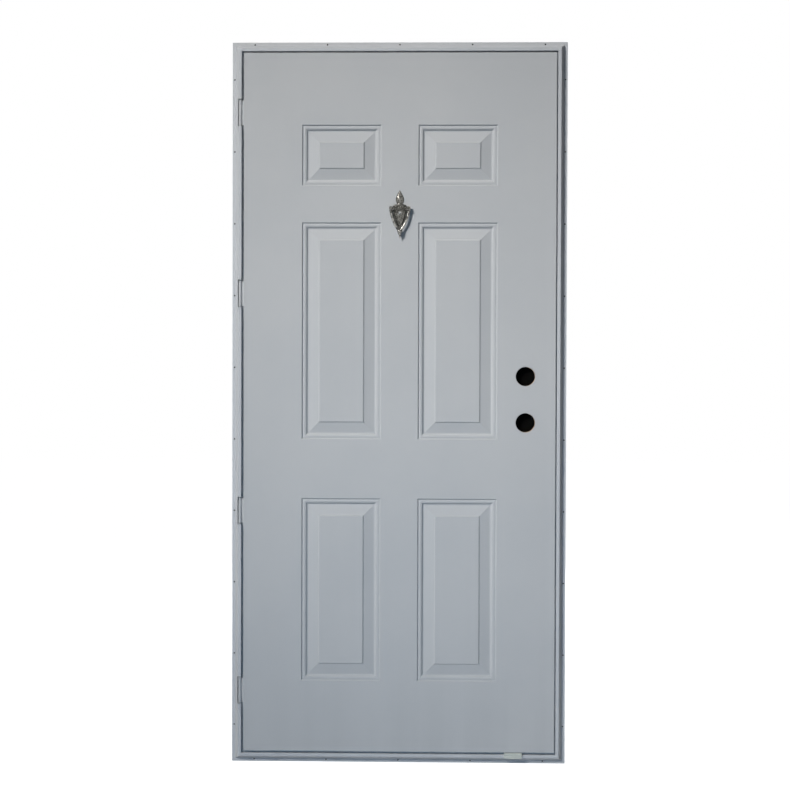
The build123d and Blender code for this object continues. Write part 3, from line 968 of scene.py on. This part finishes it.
@dataclass
class DoorLeaf:
    """The slab: pressed skins round edge members, a lock block and a foam core."""

    lock_bore_radius: float = 0.0269875
    inner_return: float = 0.012
    lock_bores: Tuple[str, ...] = ("latch_bore", "deadbolt_bore")
    bolt_hole_radius: float = 0.0026
    viewer_hole_radius: float = 0.0062
    bolt_hole_shares: Tuple[float, ...] = (0.145, 0.655)
    viewer_hole_share: float = 0.515

    def build(self, shop: Workshop) -> None:
        """Build the skins and dress what is between them.

        Args:
            shop: the workshop with the materials.
        """
        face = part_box("exterior_skin")
        centre = (face[0].x + face[1].x) / 2
        holes = [(x, z, self.lock_bore_radius) for x, z in self.bores()]
        holes += self._knocker_holes(centre)
        layout = Panelling()
        for node, side, fold in (
            ("exterior_skin", Side.OUTSIDE, self._lip_depth()),
            ("interior_skin", Side.INSIDE, self.inner_return),
        ):
            PressedSkin(node, side, layout, face, centre, fold, holes=holes).build(shop)
        shop.dress(["hinge_stile", "lock_stile", "top_rail", "bottom_rail", "lock_block"], shop.wood)
        shop.dress(["hinge_lip", "lock_lip", "top_lip", "bottom_lip"], shop.wood)
        shop.dress(["foam_core"], shop.foam)

    def _knocker_holes(self, centre: float) -> List[Hole]:
        """Holes behind the knocker, for its bolts and the viewer.

        Args:
            centre: X of the door's middle.

        Returns:
            X, Z and radius of each hole.
        """
        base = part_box("knocker_base")
        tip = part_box("knocker_striker")[0].z
        height = base[1].z - tip
        holes = [(centre, tip + height * share, self.bolt_hole_radius) for share in self.bolt_hole_shares]
        return [*holes, (centre, tip + height * self.viewer_hole_share, self.viewer_hole_radius)]

    @staticmethod
    def _lip_depth() -> float:
        """Depth of the outer skin's fold, from the face to the lip's back."""
        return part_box("hinge_lip")[1].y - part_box("exterior_skin")[0].y

    def bores(self) -> List[Spot]:
        """X and Z of the lock bores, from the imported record's mounts.

        Returns:
            The middles of the bores.
        """
        mounts = {mount["name"]: mount["pos_m"] for mount in frame["record"]["mounts"]}
        return [(mounts[name][0], mounts[name][2]) for name in self.lock_bores]


@dataclass
class FrameBars:
    """Extruded bars, corner keys and seals of the frame."""

    bars: Tuple[str, ...] = ("hinge_jamb", "strike_jamb", "head", "sill")
    bar_corner: float = 0.0005
    hood_corner: float = 0.0006

    def build(self, shop: Workshop) -> None:
        """Dress the bars, keys and seals.

        Args:
            shop: the workshop with the materials.
        """
        for bar in self.bars:
            shop.refine(bar, shop.frame_enamel, Body.FRAME, "frame_paint", self.bar_corner)
        shop.dress([name for name in frame["nodes"] if name.startswith("corner_key")], shop.aluminium)
        shop.dress([name for name in frame["nodes"] if name.startswith("weatherstrip")], shop.seal)
        shop.refine("weep_cover", shop.weep, Body.FRAME, "weep_plastic", self.hood_corner)


@dataclass
class HingeRow:
    """Butt hinges with their pins and screws."""

    count: int = 4
    corner: float = 0.0003

    def build(self, shop: Workshop) -> None:
        """Dress the hinges.

        Args:
            shop: the workshop with the materials.
        """
        for number in range(1, self.count + 1):
            for part, body in (("frame_leaf", Body.FRAME), ("door_leaf", Body.DOOR), ("pin", Body.FRAME)):
                shop.refine(f"hinge_{number}_{part}", shop.hinge_enamel, body, "hinge_steel", self.corner)
        shop.dress(["hinge_frame_screws", "hinge_door_screws"], shop.zinc)


@dataclass
class Knocker:
    """Urn-shaped knocker with its striker and the door viewer in its middle."""

    slot: str = "knocker_chrome"
    corner: float = 0.0005
    bead_rounding: int = 2
    bead_radius: float = 0.0019
    bead_pitch: float = 0.0033
    bead_rows: Tuple[float, ...] = (-0.0056, -0.0028, 0.0, 0.0028, 0.0056, 0.0084)
    band_half: float = 0.0185
    eye_bead_radius: float = 0.0016
    eye_bead_reach: float = 0.0061
    eye_bead_inset: float = 0.0017
    eye_bead_columns: int = 3
    eye_pitch_share: float = 0.75
    eye_bead_turns: Tuple[float, ...] = (-75.0, -45.0, -15.0, 15.0, 45.0, 75.0)
    bar_radius: float = 0.0044
    bar_stand_off: float = 0.009
    collar_radius: float = 0.02106
    flatten: float = 0.55

    def build(self, shop: Workshop) -> None:
        """Dress the knocker and the viewer.

        Args:
            shop: the workshop with the materials.
        """
        for node, metal, body in (
            ("knocker_base", shop.base_nickel_painted_reflection, Body.DOOR),
            ("knocker_striker", shop.nickel_painted_reflection, Body.STRIKER),
            ("viewer_barrel", shop.nickel_painted_reflection, Body.DOOR),
            ("viewer_eyepiece", shop.nickel_painted_reflection, Body.DOOR),
        ):
            shop.refine(node, metal, body, self.slot, self.corner)
        shop.dress(["knocker_pivot_pin"], shop.nickel_painted_reflection)
        shop.dress(["knocker_bolts"], shop.zinc)
        shop.dress(["viewer_lens"], shop.glass)
        self._beads(shop)
        self._eye_beads(shop)

    def _bead(self, bm: bmesh.types.BMesh, place: Point, radius: float) -> None:
        """Add one bead.

        Args:
            bm: the beading.
            place: middle of the bead.
            radius: its radius.
        """
        bmesh.ops.create_icosphere(
            bm, subdivisions=self.bead_rounding, radius=radius, matrix=Matrix.Translation(place)
        )

    def _beads(self, shop: Workshop) -> None:
        """Cover the collar and its bar with rows of small cast beads.

        Args:
            shop: the workshop with the materials.
        """
        axis_x, plane_y, axis_z = self._middle()
        bm = bmesh.new()
        for number, rise in enumerate(self.bead_rows):
            count = int(2 * self.band_half / self.bead_pitch) - number % 2
            for step in range(count + 1):
                x = (step - count / 2) * self.bead_pitch
                place = (axis_x + x, plane_y - self._front(x, rise), axis_z + rise)
                self._bead(bm, place, self.bead_radius)
        beads = shop.piece("knocker_beading", bm, shop.base_nickel_painted_reflection, True)
        shop.declare(beads, Body.DOOR, self.slot)

    def _eye_beads(self, shop: Workshop) -> None:
        """Bead the front of the striker's two eyes, which turn about the bar's axis.

        Args:
            shop: the workshop with the materials.
        """
        axis_x, _, axis_z = self._middle()
        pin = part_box("knocker_pivot_pin")
        axis_y = (pin[0].y + pin[1].y) / 2
        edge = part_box("knocker_striker")[1].x - axis_x - self.eye_bead_inset
        bm = bmesh.new()
        for column in range(self.eye_bead_columns):
            offset = edge - column * self.bead_pitch * self.eye_pitch_share
            for turn in self.eye_bead_turns:
                angle = math.radians(turn)
                y = axis_y - self.eye_bead_reach * math.cos(angle)
                z = axis_z + self.eye_bead_reach * math.sin(angle)
                for x in (axis_x - offset, axis_x + offset):
                    self._bead(bm, (x, y, z), self.eye_bead_radius)
        beads = shop.piece("eye_beading", bm, shop.base_nickel_painted_reflection, True)
        shop.declare(beads, Body.STRIKER, self.slot)

    @staticmethod
    def _middle() -> Point:
        """X of the knocker's middle, Y of the face behind it and Z of its bar."""
        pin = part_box("knocker_pivot_pin")
        return (pin[0].x + pin[1].x) / 2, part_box("knocker_base")[1].y, (pin[0].z + pin[1].z) / 2

    def _front(self, x: float, rise: float) -> float:
        """How far the bar or the collar stands off the door.

        Args:
            x: distance from the knocker's middle.
            rise: height above the bar's axis.

        Returns:
            The larger of the two.
        """
        collar = self.flatten * math.sqrt(self.collar_radius**2 - x**2)
        if abs(rise) >= self.bar_radius:
            return collar
        return max(collar, self.bar_stand_off + math.sqrt(self.bar_radius**2 - rise**2))


@dataclass(frozen=True)
class Lamp:
    """What every lamp has: its place, its aim, its power and its colour."""

    name: str
    place: Point
    target: Point
    power: float
    colour: Colour

    def hang(self, kind: str) -> bpy.types.Light:
        """Hang a lamp.

        Args:
            kind: Blender's name for the kind of lamp.

        Returns:
            The lamp's data.
        """
        data = bpy.data.lights.new(self.name, kind)
        data.energy = self.power
        data.color = self.colour
        lamp = bpy.data.objects.new(self.name, data)
        lamp.location = self.place
        aim = Vector(self.target) - Vector(self.place)
        lamp.rotation_euler = aim.to_track_quat("-Z", "Y").to_euler()
        bpy.context.scene.collection.objects.link(lamp)
        return data


@dataclass(frozen=True)
class PanelLamp(Lamp):
    """Soft rectangular lamp."""

    width: float
    height: float
    mirrored: bool = True

    def build(self) -> None:
        """Hang the lamp, set its size and whether bright metal mirrors it."""
        data = self.hang("AREA")
        bpy.data.objects[self.name].visible_glossy = self.mirrored
        data.shape = "RECTANGLE"
        data.size = self.width
        data.size_y = self.height


@dataclass(frozen=True)
class SpotLamp(Lamp):
    """Large lamp whose beam fades towards its edge."""

    cone: float
    radius: float

    def build(self) -> None:
        """Hang the lamp and set its beam."""
        data = self.hang("SPOT")
        data.spot_size = math.radians(self.cone)
        data.spot_blend = 1.0
        data.shadow_soft_size = self.radius


@dataclass
class PhotoCamera:
    """Camera at the photograph's viewpoint, fitted to the door's edges in a frame of 790 by 800."""

    place: Point = (0.0812, -4.2, 1.0874)
    level: float = 90.0
    yaw: float = 1.259
    pitch: float = -0.903
    roll: float = 0.17
    focal_pixels: float = 1495.2
    frame_height: float = 800.0
    sensor: float = 36.0

    def build(self) -> None:
        """Set the scene's camera."""
        data = bpy.data.cameras.new("photo_camera")
        data.sensor_width = self.sensor
        data.lens = self.focal_pixels / self.frame_height * self.sensor
        camera = bpy.data.objects.new("photo_camera", data)
        turn = Matrix.Rotation(math.radians(self.yaw), 4, "Z")
        turn = turn @ Matrix.Rotation(math.radians(self.level + self.pitch), 4, "X")
        turn = turn @ Matrix.Rotation(math.radians(self.roll), 4, "Z")
        camera.matrix_world = Matrix.Translation(self.place) @ turn
        bpy.context.scene.collection.objects.link(camera)
        bpy.context.scene.camera = camera


@dataclass
class Studio:
    """Pale floor, white surroundings and lamps."""

    floor_size: float = 30.0
    floor_colour: Colour = (0.6, 0.6, 0.6)
    near_glow: float = 0.84
    far_glow: float = 0.97
    glow_start: float = 1.0
    glow_end: float = 3.5
    sky: Colour = (0.055, 0.055, 0.055)
    ground: Colour = (0.05, 0.07, 0.1)
    horizon: Span = (-0.5, 0.5)
    lamps: Tuple[Lamp, ...] = (
        SpotLamp(
            "key_high",
            place=(-4.8, -7.1, 6.2),
            target=(1.04, 0.0, 1.42),
            power=4850.0,
            colour=(1.0, 0.965, 0.925),
            cone=15.6,
            radius=1.4,
        ),
        SpotLamp(
            "key_low",
            place=(-4.8, -7.1, 6.2),
            target=(-0.35, 0.0, 1.15),
            power=4500.0,
            colour=(1.0, 0.98, 0.95),
            cone=20.4,
            radius=1.4,
        ),
        PanelLamp(
            "cool_low",
            place=(0.0, -1.6, 0.12),
            target=(0.0, 0.0, 0.7),
            power=4.6,
            colour=(0.2, 0.57, 1.0),
            width=1.6,
            height=0.2,
            mirrored=False,
        ),
        PanelLamp(
            "rear_left",
            place=(-1.5, 3.4, 2.3),
            target=(0.0, 0.0, 1.0),
            power=70.0,
            colour=WHITE,
            width=1.6,
            height=1.6,
        ),
        PanelLamp(
            "rear_right",
            place=(1.2, 3.6, 2.6),
            target=(0.0, 0.0, 1.0),
            power=45.0,
            colour=WHITE,
            width=1.6,
            height=1.6,
        ),
    )

    def build(self) -> None:
        """Light the object and lay the floor."""
        bpy.context.scene.view_settings.view_transform = "Standard"
        for lamp in self.lamps:
            lamp.build()
        self._surroundings()
        self._floor()

    @staticmethod
    def _seen(g: Graph) -> Signal:
        """One for camera, glossy and transmission rays, and zero for the rest.

        Args:
            g: node graph of the world or a stage material.

        Returns:
            The mask.
        """
        camera = g.node("ShaderNodeLightPath", output="Is Camera Ray")
        glossy = g.node("ShaderNodeLightPath", output="Is Glossy Ray")
        through = g.node("ShaderNodeLightPath", output="Is Transmission Ray")
        return camera.larger(glossy).larger(through)

    def _surroundings(self) -> None:
        """White for what is seen, and a cool ground under a neutral sky for the light."""
        world = bpy.data.worlds.new("surroundings")
        world.use_nodes = True
        bpy.context.scene.world = world
        g = Graph(world.node_tree)
        direction = g.node("ShaderNodeTexCoord", output="Generated")
        up = g.node("ShaderNodeSeparateXYZ", {}, {0: direction}, "Z")
        tone = g.mix(g.band(up, *self.horizon), self.ground, self.sky)
        seen = g.mix(self._seen(g), tone, WHITE)
        shader = g.node("ShaderNodeBackground", {}, {"Color": seen, "Strength": 1.0})
        g.node("ShaderNodeOutputWorld", {}, {"Surface": shader})

    def _floor(self) -> None:
        """Pale floor that keeps the shadow and is near white where the light reaches it."""
        material, g = Finish("floor").graph()
        matt = g.node("ShaderNodeBsdfDiffuse", {}, {"Color": (*self.floor_colour, 1.0)})
        away = (g.axis("X") ** 2.0 + g.axis("Y") ** 2.0) ** 0.5
        fade = g.band(away, self.glow_start, self.glow_end)
        level = self.near_glow + fade * (self.far_glow - self.near_glow)
        shown = self._seen(g) * level
        glow = g.node("ShaderNodeEmission", {}, {"Color": (*WHITE, 1.0), "Strength": shown})
        both = g.node("ShaderNodeAddShader", {}, {0: matt, 1: glow})
        g.node("ShaderNodeOutputMaterial", {}, {"Surface": both})
        bm = bmesh.new()
        bmesh.ops.create_grid(bm, x_segments=1, y_segments=1, size=self.floor_size / 2)
        Workshop.piece("floor", bm, material, False)


@dataclass
class PaintedShadeDiscs:
    """Painted shade: small near-black matt discs that stand in for the unlit room behind the open holes;
    they aren't part of the door.
    """

    bore_radius: float = 0.0268
    nail_radius: float = 0.0023
    nail_inset: float = 0.006
    nail_gap: float = 0.0004
    side_pitch: float = 0.2016
    side_count: int = 10
    end_pitch: float = 0.2032
    end_count: int = 5
    colour: Colour = (0.004, 0.004, 0.004)
    segments: int = 32

    def build(self, bores: Sequence[Spot]) -> None:
        """Set a painted-shade disc in the middle of each lock bore and behind each nailing hole.

        Args:
            bores: X and Z of the lock bores.
        """
        # Near-black matt material: painted shade for the holes.
        material, g = Finish("dark_room").graph()
        matt = g.node("ShaderNodeBsdfDiffuse", {}, {"Color": (*self.colour, 1.0)})
        g.node("ShaderNodeOutputMaterial", {}, {"Surface": matt})
        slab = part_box("lock_block")
        middle = (slab[0].y + slab[1].y) / 2
        self._discs("bore_dark", [(x, middle, z) for x, z in bores], self.bore_radius, material, Body.DOOR)
        self._discs("nail_dark", self._nails(), self.nail_radius, material, Body.FRAME)

    def _nails(self) -> List[Point]:
        """Places just behind the fin's nailing holes.

        Returns:
            The middles of the discs.
        """
        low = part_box("hinge_jamb")[0]
        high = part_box("strike_jamb")[1]
        middle = (low + high) / 2
        rises = [(i - (self.side_count - 1) / 2) * self.side_pitch for i in range(self.side_count)]
        runs = [(i - (self.end_count - 1) / 2) * self.end_pitch for i in range(self.end_count)]
        places = []
        for x in (low.x + self.nail_inset, high.x - self.nail_inset):
            places += [(x, self.nail_gap, middle.z + rise) for rise in rises]
        for z in (low.z + self.nail_inset, high.z - self.nail_inset):
            places += [(middle.x + run, self.nail_gap, z) for run in runs]
        return places

    def _discs(
        self, name: str, places: Sequence[Point], radius: float, material: bpy.types.Material, body: Body
    ) -> None:
        """Make one stage object of upright painted-shade discs.

        Args:
            name: its name.
            places: middles of the discs.
            radius: their radius.
            material: their finish.
            body: the body that they move with.
        """
        bm = bmesh.new()
        for place in places:
            spot = Matrix.Translation(place) @ UPRIGHT
            bmesh.ops.create_circle(bm, cap_ends=True, segments=self.segments, radius=radius, matrix=spot)
        discs = Workshop.piece(name, bm, material, False)
        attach(discs, body.value)


def main() -> None:
    """Build and dress the sub-assemblies in order, then set the studio."""
    logging.basicConfig(level=logging.INFO, format="%(name)s: %(message)s")
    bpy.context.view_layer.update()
    shop = Workshop(Palette())
    leaf = DoorLeaf()
    for assembly in (FrameBars(), leaf, HingeRow(), Knocker()):
        assembly.build(shop)
        log.info("finished %s", type(assembly).__name__)
    PaintedShadeDiscs().build(leaf.bores())
    Studio().build()
    PhotoCamera().build()


if __name__ == "__main__":
    main()
